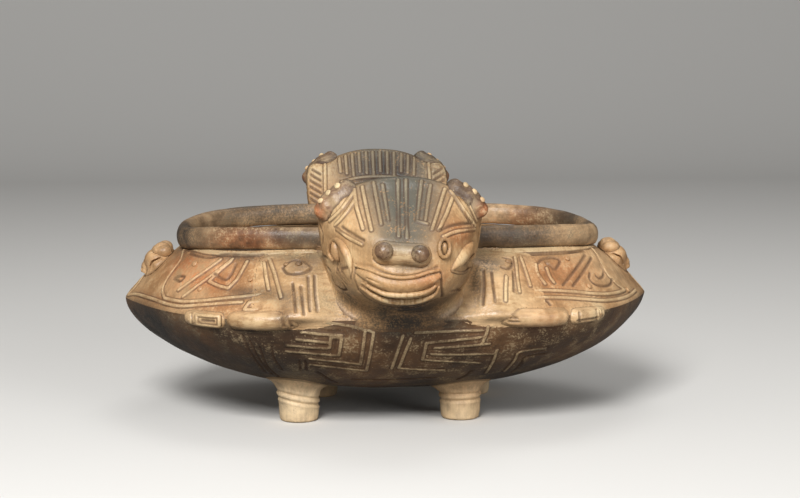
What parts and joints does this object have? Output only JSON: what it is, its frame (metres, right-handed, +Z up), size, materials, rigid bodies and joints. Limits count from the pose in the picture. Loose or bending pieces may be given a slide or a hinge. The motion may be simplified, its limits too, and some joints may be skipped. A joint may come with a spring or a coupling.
{
  "type": "effigy bowl",
  "caption": "Oval footed bowl with a keel drawn out to two points, a rolled rim, an animal head at front and back, limbs along the keel and small side heads.",
  "frame": {"origin": "on the ground under the middle of the bowl, midway between the four feet", "axes": "+Z up, +X towards the drawn-out point on the right as seen from the front, -Y towards the front head"},
  "size_m": [0.3, 0.288, 0.1425],
  "materials": {
    "belly_clay": "burnished, smoke darkened",
    "shoulder_clay": "burnished, incised",
    "rim_clay": "burnished, smoke clouded",
    "foot_clay": "burnished, rubbed",
    "head_clay": "burnished, with rubbed dark pigment",
    "dark_roll_clay": "burnished, smoke blackened",
    "pellet_clay": "pale clay, matt",
    "nose_clay": "burnished to a gloss",
    "limb_clay": "burnished",
    "side_head_clay": "burnished"
  },
  "bodies": {
    "root": {"lower_bowl": "belly_clay", "shoulder_wall": "shoulder_clay", "rim_coil": "rim_clay", "foot_front_left": "foot_clay", "foot_front_right": "foot_clay", "foot_rear_left": "foot_clay", "foot_rear_right": "foot_clay", "front_head": "head_clay", "front_nose_bar": "nose_clay", "front_nostril_left": "nose_clay", "front_nostril_right": "nose_clay", "front_eye_left": "head_clay", "front_eye_right": "head_clay", "front_upper_lip": "head_clay", "front_lower_lip": "head_clay", "front_ear_left": "dark_roll_clay", "front_ear_right": "dark_roll_clay", "front_ear_pellet_left_1": "pellet_clay", "front_ear_pellet_left_2": "pellet_clay", "front_ear_pellet_left_3": "pellet_clay", "front_ear_pellet_right_1": "pellet_clay", "front_ear_pellet_right_2": "pellet_clay", "front_ear_pellet_right_3": "pellet_clay", "rear_head": "head_clay", "rear_nose_bar": "nose_clay", "rear_nostril_left": "nose_clay", "rear_nostril_right": "nose_clay", "rear_eye_left": "head_clay", "rear_eye_right": "head_clay", "rear_upper_lip": "head_clay", "rear_lower_lip": "head_clay", "rear_ear_left": "dark_roll_clay", "rear_ear_right": "dark_roll_clay", "rear_ear_pellet_left_1": "pellet_clay", "rear_ear_pellet_left_2": "pellet_clay", "rear_ear_pellet_left_3": "pellet_clay", "rear_ear_pellet_right_1": "pellet_clay", "rear_ear_pellet_right_2": "pellet_clay", "rear_ear_pellet_right_3": "pellet_clay", "upper_arm_front_left": "limb_clay", "upper_arm_front_right": "limb_clay", "upper_arm_rear_left": "limb_clay", "upper_arm_rear_right": "limb_clay", "forearm_front_left": "limb_clay", "forearm_front_right": "limb_clay", "forearm_rear_left": "limb_clay", "forearm_rear_right": "limb_clay", "paw_front_left": "limb_clay", "paw_front_right": "limb_clay", "paw_rear_left": "limb_clay", "paw_rear_right": "limb_clay", "side_head_left": "side_head_clay", "side_head_right": "side_head_clay", "side_crest_left": "side_head_clay", "side_crest_right": "side_head_clay", "side_snout_left": "side_head_clay", "side_snout_right": "side_head_clay"}
  },
  "joints": []
}
